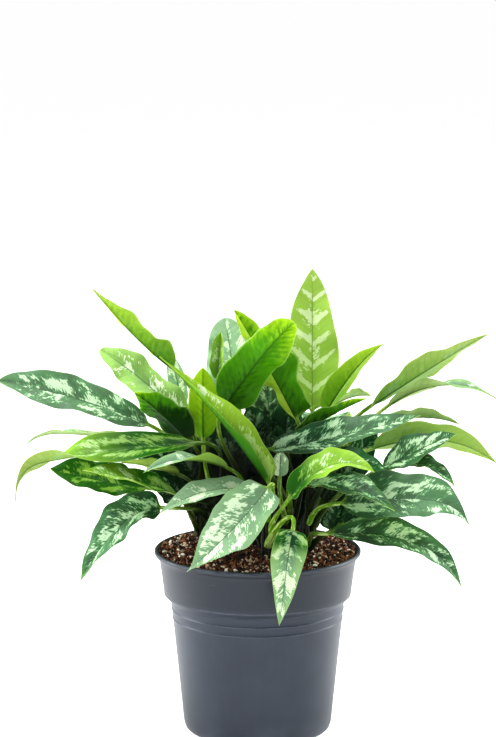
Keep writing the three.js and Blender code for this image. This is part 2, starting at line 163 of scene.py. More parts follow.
def newGrowth(name, given):
    # an empty Geometry Nodes tree, its inputs given by kind; returns the bench and the inputs by name
    tree = bpy.data.node_groups.new(name, "GeometryNodeTree")
    for kind, labels in given.items():
        for label in labels:
            tree.interface.new_socket(name=label, in_out="INPUT", socket_type=f"NodeSocket{kind}")
    tree.interface.new_socket(name="Geometry", in_out="OUTPUT", socket_type="NodeSocketGeometry")
    source = tree.nodes.new("NodeGroupInput")
    bench = Bench(tree)
    return bench, Named(**{label: Sum(bench, source.outputs[label]) for labels in given.values() for label in labels})


def finishGrowth(bench, geometry, skin):
    whole = bench.node("GeometryNodeRealizeInstances", {}, {"Geometry": geometry})
    skinned = bench.node("GeometryNodeSetMaterial", {}, {"Geometry": whole, "Material": skin})
    bench.node("NodeGroupOutput", {}, {"Geometry": skinned})


def newPiece(name, mesh, skin=None):
    piece = bpy.data.objects.new(name, mesh)
    bpy.context.scene.collection.objects.link(piece)
    if skin:
        mesh.materials.append(skin)
    return piece


def asBuilt(piece):
    # the piece's mesh with its modifiers worked into it
    return bpy.data.meshes.new_from_object(piece.evaluated_get(bpy.context.evaluated_depsgraph_get()))


def toMesh(name, solid):
    mesh = bpy.data.meshes.new(name)
    solid.to_mesh(mesh)
    solid.free()
    return mesh


def grow(name, tree, values, base=None):
    # runs the tree and keeps what it makes as one plain mesh object
    seed = newPiece(name + "Seed", base or bpy.data.meshes.new(name + "Seed"))
    modifier = seed.modifiers.new("growth", "NODES")
    modifier.node_group = tree
    names = {s.name: s.identifier for s in tree.interface.items_tree if s.in_out == "INPUT"}
    for label, value in values.items():
        modifier[names[label]] = value
    mesh = asBuilt(seed)
    mesh.name = name
    bpy.data.objects.remove(seed)
    return newPiece(name, mesh)


def smoothAll(mesh, angle):
    mesh.shade_smooth()
    mesh.set_sharp_from_angle(angle=math.radians(angle))


def onPlant(piece, slotName, *nodes):
    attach(piece, "root")
    if nodes:
        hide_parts(*nodes)


# the plant's heart, where little light comes: its border seen from above, its upper border, and its shade
heart = {"radius": (0.05, 0.108), "height": (0.245, 0.308), "shade": 0.97}


def inHeart(x, y, z):
    return (1 - (x * x + y * y).sqrt().smooth(*heart["radius"])) * (1 - z.smooth(*heart["height"])) * heart["shade"]


cane = {
    "radius": 5.5, "datum": 162.0,
    # where each cane stands and how high its top is above the canes' datum, a little under the soil's top
    "stands": {
        "a": (-54, 44, 46), "b": (-32, 20, 66), "c": (-6, 2, 62), "d": (8, -40, 48), "e": (44, -18, 46),
        "f": (28, 4, 58), "g": (20, 34, 66), "h": (50, 50, 60), "i": (-8, 60, 52),
    },
}

leafShape = {
    "around": 36, "rings": 104, "stalkShare": 0.2, "ringCrowding": 0.55, "border": 0.0001,
    "stalkFootRadius": 3.0, "stalkRadius": 1.9, "stalkTaper": 1.6, "stalkFlatness": 0.25, "stalkSeat": 2.2,
    "stalkReach": 0.4, "sheathReach": 0.4, "sheathSwell": 0.35, "leanLow": 0.7, "leanHigh": 0.3, "leanSpan": 66.0,
    "thickness": 0.7, "edgeRounding": 2.4, "tipHalf": 0.25, "neck": 0.06, "join": 0.05, "swellPower": 2.2,
    "midribDepth": 1.9, "midribReach": 2.3, "midribLoss": 0.6, "channel": 0.55, "channelReach": 2.0,
    "twistStart": 0.25, "twistEnd": 0.8, "hookStart": 0.6, "foldAtBase": 1.12, "foldLoss": 0.2, "levelling": 0.45,
    "veinSpacing": 7.0, "veinSweep": 0.75, "veinShift": 1.6, "quilt": 0.45, "quiltLevel": 0.6,
    "marginWave": 0.9, "swellWaves": 11, "swellShift": 2.1, "waveGrowth": 1.6, "edgeWaves": 13, "edgeShift": 1.9,
    "ripple": 0.4, "rippleWaves": 31, "rippleShift": 2.7,
}

# cane, height on it, blade's base and tip, the midrib's bow and its place, the way the upper face looks, width, fold
# of each half, how drawn out the tip is, where the blade is widest, how slowly it widens from its base, how waved its
# margins are and how far the tip hooks down; the last of these are left out where they are usual
leafForms = {
    1: ("a", 30, (-99, 20, 281), (-236, -10, 328), 0.07, 0.5, (0, -65, 76), 42, 14, 0.85, 0.62, 0.55),
    2: ("b", 56, (-77, 20, 334), (-147, -30, 415), -0.07, 0.5, (40, 62, 75), 32, 30, 1.1, 0.28, 0.85, 0.09),
    3: ("a", 46, (-66, 48, 278), (-146, 46, 347), 0.1, 0.5, (10, -75, 66), 35, 10, 0.45, 0.4, 0.5, 0.1),
    4: ("a", 44, (-62, 0, 271), (-111, -24, 320), 0.08, 0.5, (20, 80, 50), 38, 14, 0.9, 0.4, 0.45, 0.08),
    5: ("b", 28, (-53, -22, 273), (-217, -64, 228), 0.24, 1, (0, -50, 85), 40, 12, 2.1, 0.3, 0.45, 0.05, 0.13),
    6: ("a", 20, (-86, 52, 259), (-213, 20, 264), 0.12, 0.8, (0, 20, 98), 25, 10, 1.2, 0.4, 0.5, 0.05, 0.06),
    7: ("a", 16, (-100, -12, 229), (-188, -26, 250), -0.04, 0.5, (-10, -50, 85), 46, 14, 0.9, 0.52, 0.7),
    8: ("d", 30, (-72, -36, 228), (-155, -78, 260), 0.06, 0.5, (0, -35, 93), 34, 16, 1.1, 0.4, 0.7),
    9: ("b", 20, (-72, 14, 236), (-125, 4, 250), 0.1, 0.5, (0, 55, 83), 22, 12),
    10: ("c", 40, (-27, -36, 253), (-101, -79, 258), 0.24, 0.5, (0, 40, 90), 19, 24),
    11: ("c", 16, (-87, -44, 218), (-159, -62, 155), 0.36, 0.5, (-40, -60, 60), 43, 22, 1, 0.4, 0.5, 0.08),
    12: ("d", 44, (10, -62, 241), (-62, -112, 176), -0.08, 0.5, (-12, -78, 58), 51, 16, 1.6, 0.36, 0.3, 0.07),
    13: ("d", 46, (-5, -38, 233), (-87, -78, 221), 0.2, 0.5, (0, -45, 90), 29, 14),
    14: ("d", 20, (31, -97, 210), (19, -114, 127), 0.1, 0.3, (0, -100, 20), 31, 12, 1, 0.36, 0.25),
    15: ("h", 58, (51, 62, 286), (51, 82, 418), 0.03, 0.5, (0, -95, 30), 48, 10, 0.85, 0.38, 0.5, 0.07),
    16: ("c", 60, (-31, -6, 302), (32, -50, 388), 0.08, 0.6, (20, 85, 45), 43, 14, 0.5, 0.22, 0.42, 0.1),
    17: ("g", 54, (36, 14, 288), (-21, 4, 391), 0.06, 0.5, (48, 72, 40), 48, 20, 0.9, 0.25, 0.35, 0.12),
    18: ("b", 62, (-17, 42, 291), (-31, 80, 372), 0.05, 0.5, (0, -95, 30), 49, 10, 0.6),
    19: ("b", 66, (-37, 31, 322), (-34, 30, 366), 0.02, 0.5, (-20, -95, 10), 24, 58, 0.6),
    20: ("c", 50, (11, -45, 239), (-88, -25, 353), 0.1, 0.5, (60, -45, 60), 38, 48, 2.0, 0.22),
    21: ("b", 40, (-50, 10, 270), (-50, -4, 339), 0.04, 0.5, (0, 90, 40), 30, 16, 0.8),
    22: ("i", 50, (-70, 62, 292), (-82, 78, 336), 0.05, 0.5, (0, -90, 30), 17, 12, 0.55),
    23: ("g", 57, (12, 59, 264), (6, 72, 341), 0.05, 0.5, (0, -95, 25), 44, 12, 0.9),
    24: ("g", 66, (62, 34, 290), (114, 4, 360), 0.17, 0.5, (-30, 80, 50), 28, 22, 1.25, 0.28, 0.5, 0.03),
    25: ("f", 56, (34, 2, 276), (98, -8, 312), 0.06, 0.5, (-20, 50, 85), 26, 16),
    26: ("g", 34, (70, 58, 294), (106, 73, 300), 0.2, 0.5, (0, 50, 85), 24, 12),
    27: ("h", 58, (104, 22, 299), (207, -15, 372), 0.03, 0.5, (-30, 75, 60), 31, 14, 1.2, 0.4, 1.2, 0.08),
    28: ("h", 40, (120, 42, 295), (220, 24, 306), 0.34, 0.5, (0, 60, 80), 26, 10, 2.0, 0.4, 0.8),
    29: ("f", 50, (11, -26, 268), (145, -54, 305), -0.03, 0.5, (0, -50, 85), 42, 12),
    30: ("f", 46, (118, 14, 285), (184, 6, 286), 0.2, 0.5, (0, 45, 90), 30, 12),
    31: ("e", 46, (105, 8, 262), (218, -16, 253), 0.24, 0.5, (0, 80, 60), 40, 14, 1.2, 0.4, 0.7, 0.05, 0.06),
    32: ("e", 28, (113, -16, 249), (180, -32, 284), 0.04, 0.5, (0, -55, 83), 36, 12, 1.3, 0.4, 0.7),
    33: ("h", 24, (129, 3, 247), (180, -11, 231), 0.35, 0.5, (30, -30, 90), 30, 16),
    34: ("e", 36, (74, -48, 223), (189, -78, 209), 0.23, 0.75, (0, -62, 78), 58, 12, 1.7, 0.33, 0.6, 0.05, 0.1),
    35: ("f", 40, (43, -56, 242), (121, -96, 227), 0.2, 0.5, (0, -35, 93), 34, 14, 1.1, 0.4, 0.7, 0.05, 0.04),
    36: ("e", 16, (63, -60, 198), (182, -85, 154), 0.33, 0.75, (0, -50, 87), 37, 14, 1.35, 0.38, 0.6, 0.05, 0.07),
    37: ("d", 33, (28, -66, 231), (103, -92, 261), 0.43, 0.45, (0, -50, 80), 34, 20, 1.1, 0.4, 0.5, 0.07, 0.03),
    38: ("f", 27, (62, -20, 256), (121, -30, 240), 0.3, 0.5, (0, -35, 90), 30, 12),
    39: ("h", 30, (62, 8, 226), (90, 10, 236), 0.1, 0.5, (0, -40, 90), 22, 12),
    40: ("f", 30, (20, -13, 240), (21, -9, 263), 0.05, 0.5, (0, -90, 30), 17, 20, 0.8, 0.4, 0.4),
    41: ("i", 30, (-35, 95, 255), (-90, 205, 235), 0.2, 0.6, (0, 0, 100), 50, 12),
    42: ("i", 40, (0, 100, 275), (5, 220, 245), 0.2, 0.6, (10, 0, 100), 54, 12),
    43: ("g", 44, (40, 95, 262), (90, 205, 240), 0.2, 0.6, (0, 0, 100), 50, 12),
    44: ("i", 12, (-70, 82, 235), (-130, 165, 225), 0.2, 0.6, (0, 10, 100), 46, 12),
    45: ("h", 22, (82, 80, 240), (155, 160, 225), 0.2, 0.6, (0, 10, 100), 46, 12),
    46: ("i", 16, (-15, 90, 215), (-40, 190, 165), 0.25, 0.6, (0, 20, 90), 52, 12, 1),
    47: ("g", 28, (55, 88, 215), (85, 180, 170), 0.25, 0.6, (0, 20, 90), 52, 12, 1),
    48: ("i", 51, (20, 84, 300), (24, 132, 333), 0.1, 0.5, (0, -60, 80), 40, 12, 1),
}

# small leaves deep inside the plant
innerForms = {
    "A": ("b", 22, (-50, 26, 216), (-88, 32, 274), 0.05, 0.5, (10, -90, 30), 38, 14, 0.8),
    "B": ("a", 24, (-72, 56, 222), (-118, 66, 264), 0.06, 0.5, (0, -85, 40), 36, 14),
    "C": ("c", 28, (-18, 18, 222), (-34, 24, 288), 0.04, 0.5, (0, -95, 20), 40, 14, 0.9),
    "D": ("i", 22, (-30, 70, 224), (-62, 76, 284), 0.05, 0.5, (10, -90, 20), 42, 14, 0.9),
    "E": ("f", 20, (30, 14, 215), (17, 22, 280), 0.05, 0.5, (0, -95, 20), 38, 14, 0.9),
    "F": ("g", 20, (32, 46, 222), (54, 58, 286), 0.05, 0.5, (0, -90, 20), 42, 14, 0.9),
    "G": ("h", 18, (68, 44, 220), (112, 50, 268), 0.06, 0.5, (0, -90, 30), 38, 14),
    "H": ("e", 22, (62, -2, 212), (98, 6, 252), 0.1, 0.5, (0, -90, 40), 34, 14),
    "I": ("d", 18, (-16, -24, 206), (-54, -30, 236), 0.12, 0.5, (0, -70, 60), 30, 14),
    "R": ("f", 44, (24, 46, 252), (30, 54, 302), 0.04, 0.5, (0, -95, 20), 32, 14, 0.8, 0.4, 0.4),
    "K": ("c", 36, (6, 8, 226), (12, 6, 272), 0.04, 0.5, (0, -95, 20), 30, 14),
    "L": ("g", 30, (10, 40, 232), (-8, 44, 296), 0.04, 0.5, (0, -95, 20), 40, 14, 0.9),
    "M": ("e", 12, (78, -30, 200), (112, -36, 216), 0.12, 0.5, (0, -60, 70), 30, 14),
    "N": ("i", 8, (0, 78, 171), (12, 86, 248), 0.04, 0.5, (0, -95, 10), 50, 12, 0.8, 0.4, 0.4),
    "O": ("g", 6, (36, 68, 171), (46, 74, 244), 0.04, 0.5, (0, -95, 10), 46, 12, 0.8, 0.4, 0.4),
    "P": ("h", 6, (70, 62, 171), (88, 64, 228), 0.04, 0.5, (0, -95, 10), 40, 12, 0.8, 0.4, 0.4),
    "Q": ("i", 4, (-42, 74, 171), (-58, 80, 240), 0.04, 0.5, (0, -95, 10), 44, 12, 0.8, 0.4, 0.4),
    "J": ("b", 16, (-66, 0, 214), (-100, -6, 232), 0.12, 0.5, (0, -60, 70), 32, 14),
}
# the inner leaves are painted in shade all over, and their lower side darkly in shade
innerLook = (0.0, 0.0, 0.2, 1.8, 0.3, 0.95)

# how each leaf looks: upper side lime, pale wash, cover of blotches, painted shade at the base (spreading over the
# whole blade above 1); lower side painted glow of light shining through it, painted shade
leafLooks = {
    1: (0.05, 0.28, 0.56, 0.3, 0.3, 0.0), 2: (0.75, 0.3, 0.4, 0.0, 0.7, 0.36),
    3: (0.95, 0.45, 0.5, 0.0, 0.6, 0.0), 4: (0.2, 0.0, 0.2, 0.8, 1.0, 1.3),
    5: (0.75, 0.1, 0.5, 1.1, 0.0, 0.3), 6: (0.4, 0.6, 0.3, 0.0, 0.0, 0.0), 7: (0.85, 0.0, 0.3, 2.0, 0.6, 0.4),
    8: (0.75, 0.05, 0.5, 1.5, 0.3, 0.0), 9: (0.3, 0.2, 0.4, 0.2, 0.4, 0.1),
    10: (0.3, 0.75, 0.35, 0.2, 0.6, 0.2), 11: (0.05, 0.16, 0.58, 0.9, 0.3, 0.2),
    12: (0.25, 0.75, 0.52, 0.3, 0.3, 0.0), 13: (0.1, 1.0, 0.5, 0.3, 0.5, 0.3),
    14: (0.5, 0.8, 0.56, 1.2, 0.5, 0.0), 15: (1.05, 0.35, 0.2, 0.0, 0.8, 0.0),
    16: (0.6, 0.0, 0.2, 0.0, 1.0, 0.74), 17: (0.6, 0.0, 0.2, 0.0, 1.0, 0.7),
    18: (0.1, 1.0, 0.5, 0.0, 0.5, 0.0), 19: (1.0, 0.2, 0.3, 0.2, 0.9, 0.1),
    20: (0.95, 0.1, 0.52, 0.7, 0.9, 0.5), 21: (0.7, 0.1, 0.3, 0.0, 1.0, 0.3),
    22: (0.15, 0.8, 0.5, 0.0, 0.4, 0.1), 23: (0.05, 0.2, 0.6, 0.9, 0.4, 0.3),
    24: (0.8, 0.1, 0.3, 0.0, 0.75, 0.3), 25: (0.5, 0.0, 0.2, 0.6, 1.0, 0.95),
    26: (0.3, 0.8, 0.4, 0.0, 0.3, 0.0), 27: (0.2, 0.2, 0.4, 0.1, 0.1, 0.3),
    28: (0.5, 0.5, 0.0, 0.0, 0.1, 0.1), 29: (0.05, 0.4, 0.5, 1.5, 0.3, 0.1),
    30: (0.2, 0.5, 0.4, 0.1, 0.1, 0.1), 31: (0.3, 0.4, 0.4, 0.1, 0.3, 0.2),
    32: (0.04, 0.15, 0.54, 0.5, 0.3, 0.1), 33: (0.03, 0.1, 0.5, 0.7, 0.3, 0.3),
    34: (0.1, 0.25, 0.6, 0.8, 0.3, 0.0), 35: (0.2, 0.3, 0.54, 1.65, 0.3, 0.1),
    36: (0.1, 0.15, 0.54, 0.55, 0.3, 0.1), 37: (0.85, 0.15, 0.22, 1.1, 0.8, 0.2),
    38: (0.0, 0.0, 0.1, 1.0, 0.3, 0.8), 39: (0.8, 0.2, 0.4, 0.0, 0.6, 0.0), 40: (0.4, 1.0, 1.0, 0.0, 0.0, 0.0),
    41: (0.1, 0.2, 0.6, 0.3, 0.5, 0.3), 42: (0.15, 0.3, 0.55, 0.3, 0.5, 0.3),
    43: (0.05, 0.25, 0.6, 0.3, 0.4, 0.3), 44: (0.3, 0.1, 0.5, 0.3, 0.5, 0.3),
    45: (0.1, 0.3, 0.6, 0.3, 0.5, 0.3), 46: (0.5, 0.2, 0.5, 0.3, 0.6, 0.3), 47: (0.1, 0.2, 0.6, 0.4, 0.5, 0.3),
    48: (0.8, 0.2, 0.4, 0.0, 0.8, 0.2),
}

# blotches gathered in bands along the side veins: how strongly, how far apart, where the first one is
leafBands = {
    12: (0.16, 21.0, 4.0), 14: (0.14, 24.0, 2.0), 15: (0.36, 21.0, 6.0), 18: (0.12, 26.0, 0.0), 20: (0.06, 30.0, 0.0),
}

# how many degrees a blade turns towards its tip
leafTwists = {5: 100, 10: -60, 28: 60}

# painted light and shade on each half of a blade: how much lighter or darker it is than the rest
leafHalfLight = {2: (0.0, 0.75), 15: (0.3, 0.3), 17: (0.0, 0.5), 20: (-0.8, 0.2), 31: (0.0, -0.35)}

# leaves near the middle that reach out into the light, and how far
leafLit = {
    10: 0.5, 12: 1.0, 13: 0.8, 14: 1.0, 20: 0.85, 21: 0.8, 29: 0.25, 34: 1.0, 35: 0.85, 36: 0.4, 37: 0.9, 40: 1.0,
}

# the leaves' colours
leafPaint = {
    "deep": rgb(12, 54, 26), "green": rgb(48, 108, 60), "lime": rgb(152, 196, 32), "limeDeep": rgb(34, 100, 2),
    "wash": rgb(156, 190, 152), "mid": rgb(118, 172, 118), "mint": rgb(196, 226, 190), "cream": rgb(238, 246, 222),
    "midrib": rgb(34, 84, 38), "rim": rgb(176, 208, 120), "tipLime": rgb(150, 196, 40), "paleHalf": rgb(196, 222, 78),
    "olive": rgb(156, 174, 88), "brightUnder": rgb(172, 216, 30), "midUnder": rgb(74, 142, 0),
    "darkUnder": rgb(16, 60, 0), "oliveVein": rgb(110, 136, 52),
    "stalk": rgb(92, 138, 30), "stalkPale": rgb(186, 206, 130), "shadow": rgb(6, 14, 4),
}

# the noises on a leaf, by how fine they are along and across its side veins, and where marks begin and end
leafMarks = {
    "cell": (1.3, 2.2), "fine": (0.75, 0.3), "clouds": (0.062, 0.085), "tone": (0.05, 0.05), "cells": (0.24, 0.17),
    "streak": (0.09, 0.8), "pores": 1.6, "cellShare": 0.13, "fineShare": 0.34, "bandPower": 2.5,
    "barest": 0.66, "coverReach": 0.2, "mid": (-0.085, -0.03), "pale": (-0.005, 0.03), "depth": (0.32, 0.66),
    "veinWidth": 0.22, "veinEnd": (0.7, 0.95), "ribLine": (0.2, 0.7), "ribEnd": (0.75, 0.95), "ribUnder": (0.4, 1.5),
}
# the usual last numbers of a form, the usual bands, and how seed and bands go on from one leaf to the next
leafRow = {"usual": (1.1, 0.4, 0.5, 0.05, 0), "bands": (0.06, 27.0), "shift": 5.0, "seed": 1.37}
innerRow = {"usual": (1.0, 0.4, 0.5, 0.06, 0), "bands": (0.06, 24.0), "shift": 7.0, "seed": 2.13}


def leafGrowth():
    shape = Named(**leafShape)
    bench, g = newGrowth("leafOnStalk", {
        "Vector": ("foot", "footReach", "baseReach", "base", "bow", "tip", "face", "upperLook", "lowerLook",
                   "bands", "halves"),
        "Float": ("twist", "width", "fold", "taper", "widest", "blunt", "wave", "hook", "stalkLength",
                  "bladeLength", "seed", "lit"),
        "Material": ("skin",)})
    leaf = bench.node("GeometryNodeMeshCylinder", {"fill_type": "NGON"}, {
        "Vertices": shape.around, "Side Segments": shape.rings, "Radius": 1.0, "Depth": 1.0}, "Mesh")
    across, lift, height = bench.node("GeometryNodeInputPosition").split()
    run = height + 0.5
    stalk = (run / shape.stalkShare).clamped()
    even = ((run - shape.stalkShare) / (1 - shape.stalkShare)).clamped()
    along = even - (even * math.tau).sin() * (shape.ringCrowding / math.tau)  # closer rings at both ends
    isBlade = run > shape.stalkShare + shape.border

    # the stalk's and the midrib's curves
    s, rest = stalk, 1 - stalk
    stalkAt = (g.foot * (rest * rest * rest) + g.footReach * (s * rest * rest * 3)
               + g.baseReach * (s * s * rest * 3) + g.base * (s * s * s))
    stalkWay = ((g.footReach - g.foot) * (rest * rest) + (g.baseReach - g.footReach) * (s * rest * 2)
                + (g.base - g.baseReach) * (s * s)).unit()
    left = 1 - along
    hooked = ((along - shape.hookStart) / (1 - shape.hookStart)).clamped()
    drop = bench.join(0.0, 0.0, g.hook)
    raisedTip = g.tip + drop
    ribAt = (g.base * (left * left) + g.bow * (along * left * 2) + raisedTip * (along * along)
             - drop * (hooked * hooked))
    ribWay = ((g.bow - g.base) * left + (raisedTip - g.bow) * along
              - drop * (hooked / (1 - shape.hookStart))).unit()
    arrive = (g.bow - g.base).unit()
    centre = stalkAt + ribAt - g.base
    way = (stalkWay + ribWay - arrive).unit()
    flat = bench.node("ShaderNodeVectorRotate", {"rotation_type": "AXIS_ANGLE"}, {
        "Vector": ribWay.cross(g.face).unit(), "Axis": ribWay,
        "Angle": g.twist * along.smooth(shape.twistStart, shape.twistEnd)})
    first = arrive.cross(g.face).unit()
    level = (first - way * way.dot(first)).unit()
    side = (flat * isBlade + level * (1 - isBlade)).unit()
    upper = side.cross(way).unit()

    # the blade's outline
    grown = along.least(g.widest) / g.widest
    past = ((along - g.widest) / (1 - g.widest)).clamped()
    outline = ((1 - (1 - grown) ** shape.swellPower).most(0.0) ** g.blunt
               * (1 - past * past).most(0.0) ** g.taper)
    stalkLoss = (stalk * shape.stalkTaper).least(1.0) * (shape.stalkFootRadius - shape.stalkRadius)
    stalkRadius = (shape.stalkFootRadius - stalkLoss) * mm
    tipHalf = shape.tipHalf * mm
    least = (1 - along.smooth(0.0, shape.neck)) * (stalkRadius - tipHalf) + tipHalf
    off = abs(across)
    handed = (across > 0.0) * 2 - 1
    swell = (along * shape.swellWaves + handed * shape.swellShift + g.seed).sin()
    half = (g.width * 0.5 * outline * (1 + g.wave * shape.marginWave * swell)).most(least)
    offMm = off * half / mm

    # its section: folded halves that level out, waved margins, a channel and a rib, raised between the side veins
    fold = g.fold * (shape.foldAtBase - along * shape.foldLoss)
    rise = half * fold.sin() * (off * (1 + shape.levelling) - off * off * shape.levelling)
    waveSize = g.width * g.wave * outline * off ** shape.waveGrowth
    wave = waveSize * (along * shape.edgeWaves + handed * shape.edgeShift + g.width / mm).sin()
    ripple = waveSize * shape.ripple * (along * shape.rippleWaves + handed * shape.rippleShift + g.seed).sin()
    veinAt = along * g.bladeLength / mm - offMm * shape.veinSweep + handed * shape.veinShift
    puff = abs((veinAt * (math.pi / shape.veinSpacing)).sin()) - shape.quiltLevel
    quilt = puff * (off * (1 - off) * 4) * outline * (shape.quilt * mm)
    channel = (1 - (offMm / shape.channelReach).least(1.0)) ** 2 * (shape.channel * mm) * outline
    rib = ((1 - (offMm / shape.midribReach).least(1.0)) ** 2 * ((shape.midribDepth - shape.thickness) * mm)
           * (1 - along * shape.midribLoss))
    rounded = ((1 - off * off).most(0.0).sqrt() * shape.edgeRounding).least(1.0)
    under = (rounded * shape.thickness * mm + rib) * (lift < -shape.border)
    bladeLift = rise + wave + ripple + quilt - channel - under
    bladeAcross = across * half * fold.cos()

    # the stalk is flatter on top, and its sheath is wider at the foot
    sheath = 1 + (1 - stalk.smooth(0.0, shape.sheathReach)) * shape.sheathSwell
    stalkLift = stalkRadius * lift * (1 - (lift > 0.0) * shape.stalkFlatness)
    morph = along.smooth(0.0, shape.join)
    wide = across * stalkRadius * sheath
    sideways = wide + (bladeAcross - wide) * morph
    raised = stalkLift + (bladeLift - stalkLift) * morph

    lengthMm = along * g.bladeLength / mm - (1 - stalk) * g.stalkLength / mm
    for name, value in {
        "bladeMap": bench.join(lengthMm, across * half / mm, off),
        "leafPart": bench.join((lift * 4 + 0.5).clamped(), morph, along),
        "upperLook": g.upperLook, "lowerLook": g.lowerLook, "bandLook": g.bands, "halfLightLook": g.halves,
        "leafSeed": g.seed, "leafLit": g.lit,
    }.items():
        leaf = bench.mark(leaf, name, value)
    leaf = bench.node("GeometryNodeSetPosition", {}, {
        "Geometry": leaf, "Position": centre + side * sideways + upper * raised})
    leaf = bench.node("GeometryNodeFlipFaces", {}, {"Mesh": leaf})
    leaf = bench.node("GeometryNodeSetShadeSmooth", {}, {"Geometry": leaf})
    finishGrowth(bench, leaf, g.skin)
    return bench.tree


def leafSkin():
    skin, bench = newSkin("leafSkin")
    paint, shape, marks = Named(**leafPaint), Named(**leafShape), Named(**leafMarks)
    length, across, edge = bench.read("bladeMap").split()
    top, blade, along = bench.read("leafPart").split()
    lime, wash, cover = bench.read("upperLook").split()
    # the lower look: painted glow of light shining through the blade, painted shade on it, and the painted shade at the
    # base
    backlit, dark, shade = bench.read("lowerLook").split()
    seed, lit = bench.read("leafSeed", "Fac"), bench.read("leafLit", "Fac")
    bandSize, bandStep, bandShift = bench.read("bandLook").split()
    # painted light and shade on the left and right halves
    leftHalfLight, rightHalfLight, _ = bench.read("halfLightLook").split()
    isUpper = top.smooth(0.45, 0.55)
    off = abs(across)
    handed = (across > 0.0) * 2 - 1
    vein = length - off * shape.veinSweep + handed * shape.veinShift  # the same number all along one side vein
    veinWave = abs((vein * (math.pi / shape.veinSpacing)).sin())
    veinLine = (1 - veinWave.smooth(0.0, marks.veinWidth)) * (1 - edge.smooth(*marks.veinEnd))

    def grain(scales, layer, detail=2.0, roughness=0.55):
        return bench.noise(bench.join(vein * scales[0], off * scales[1], layer), 1.0, detail, roughness)

    # jagged blotches, drawn out along the side veins
    cell = bench.node("ShaderNodeTexWhiteNoise", {"noise_dimensions": "3D"}, {"Vector": bench.join(
        (vein / marks.cell[0]).floor(), (off / marks.cell[1]).floor(), seed + handed)}, "Value")
    fine = grain(marks.fine, seed * 11 + handed, 1.0)
    clouds = grain(marks.clouds, seed * 5 + handed * 0.35, 2.0, 0.6)
    bands = ((vein + bandShift) * math.tau / bandStep).sin().most(0.0) ** marks.bandPower * bandSize
    ends = (1 - along.smooth(0.0, 0.06)) * 0.12 + along.smooth(0.82, 1.0) * 0.16 + edge.smooth(0.62, 0.98) * 0.2
    level = clouds + bands + (cell - 0.5) * marks.cellShare + (fine - 0.5) * marks.fineShare - ends
    border = marks.barest - cover * marks.coverReach
    mid, pale = [level.smooth(border + start, border + end) for start, end in (marks.mid, marks.pale)]

    # the ground between them; the painted shade at the base darkens it towards deep green and deep lime and dims the
    # blotches
    tone = grain(marks.tone, seed * 7 + 3)
    inShade = (shade * (1 - along.smooth(0.05, 0.6)) + (shade - 1).most(0.0)).clamped()
    depth = (tone + edge * 0.14 + along * 0.12 - 0.12 + (fine - 0.5) * 0.2).smooth(*marks.depth)
    mayBeLime = (lime * 3).clamped().most(along.smooth(0.86, 1.0) * 0.8)
    limeAt = (lime * 1.25 - 0.12 + (tone - 0.5) * 0.9 + edge.smooth(0.6, 1.0) * 0.25 * lime
              + along.smooth(0.8, 1.0) * 0.35 - (1 - edge.smooth(0.1, 0.75)) * wash * 0.8).clamped() * mayBeLime
    ground = bench.coat(
        paint.deep, (depth * (1 - inShade * 0.8), paint.green),
        (limeAt, bench.coat(paint.lime, (inShade, paint.limeDeep))), (wash * (1 - inShade), paint.wash))
    midTone = bench.coat(paint.mid, (limeAt * 0.7, paint.tipLime))
    paleTone = bench.coat(paint.mint, ((lime * 0.6 + wash * 0.5).clamped(), paint.cream), (inShade * lime, paint.lime))
    ribLine = (1 - off.smooth(*marks.ribLine)) * (1 - along.smooth(*marks.ribEnd))
    upperTone = bench.coat(
        ground, (mid * 0.6, midTone), (pale * (1 - inShade * 0.55), paleTone),
        (veinLine * (1 - pale) * 0.18, paint.midrib), (ribLine * 0.6, paint.midrib),
        (edge.smooth(0.95, 1.0) * (limeAt * 0.5 + 0.15), paint.rim))

    # the lower side is plainer, and the blotches only glow through it; light shining through it is painted as a bright
    # lime glow, and its shade as darker green
    cells = grain(marks.cells, seed * 13 + handed)
    # painted shade on the lower side: darker towards the base and the midrib, lighter towards the tip and margins and
    # on the puffed cells between side veins
    puffed = (veinWave.smooth(0.0, 1.0) * 0.08 + cells * 0.92 - 0.5) * (1 - edge * 0.6)
    shadeUnderAt = dark * (1.3 - along * 0.95 - edge * 0.3 - puffed * 1.15)
    lowerTone = bench.coat(
        paint.olive, (backlit, paint.brightUnder), (shadeUnderAt.smooth(0.0, 0.5), paint.midUnder),
        (shadeUnderAt.smooth(0.4, 1.1), paint.darkUnder), ((pale * 0.25 + wash * 0.6) * (1 - backlit), paint.wash),
        (veinLine * 0.4 * (1 - backlit), paint.oliveVein),
        ((1 - off.smooth(*marks.ribUnder)) * (1 - along * 0.7) * 0.75, paint.darkUnder),
        (edge.smooth(0.92, 1.0) * 0.5, paint.rim))
    # each half painted lighter towards a bright lime where its value is above 0, darker towards deep lime where it is
    # below
    rightShare = across.smooth(-0.4, 0.4)
    halfLightShift = leftHalfLight * (1 - rightShare) + rightHalfLight * rightShare
    bladeTone = bench.coat(
        lowerTone, (isUpper, upperTone), (halfLightShift.most(0.0) * (fine * 0.5 + 0.75), paint.paleHalf),
        ((halfLightShift * -1).most(0.0) * (1 - along * 0.8), paint.limeDeep))

    streak = bench.noise(bench.join(length * marks.streak[0], across * marks.streak[1], seed * 3), 1.0, 3.0, 0.6)
    # stalks of leaves with a painted glow on their lower side are painted a little limer too
    stalkTone = bench.coat(paint.stalk, (streak.smooth(0.5, 0.6), paint.stalkPale), (backlit * 0.3, paint.lime))
    leafTone = bench.coat(
        stalkTone, (blade, bladeTone), (inHeart(*bench.ownPlace().split()) * (1 - lit), paint.shadow))
    pores = bench.noise(bench.join(vein, off, seed * 37 + handed * 4), marks.pores)
    relief = veinWave * (isUpper * 0.3 + 0.2) * (1 - edge) + cells * (1 - isUpper) * 0.5 + pores * 0.16 + fine * 0.12
    finishSkin(bench, {
        "Base Color": leafTone, "Roughness": 0.36 + (1 - isUpper) * 0.14 + pores * 0.1,
        "Normal": bench.bump(relief, 0.0006, 0.4), "Specular IOR Level": 0.13})
    return skin


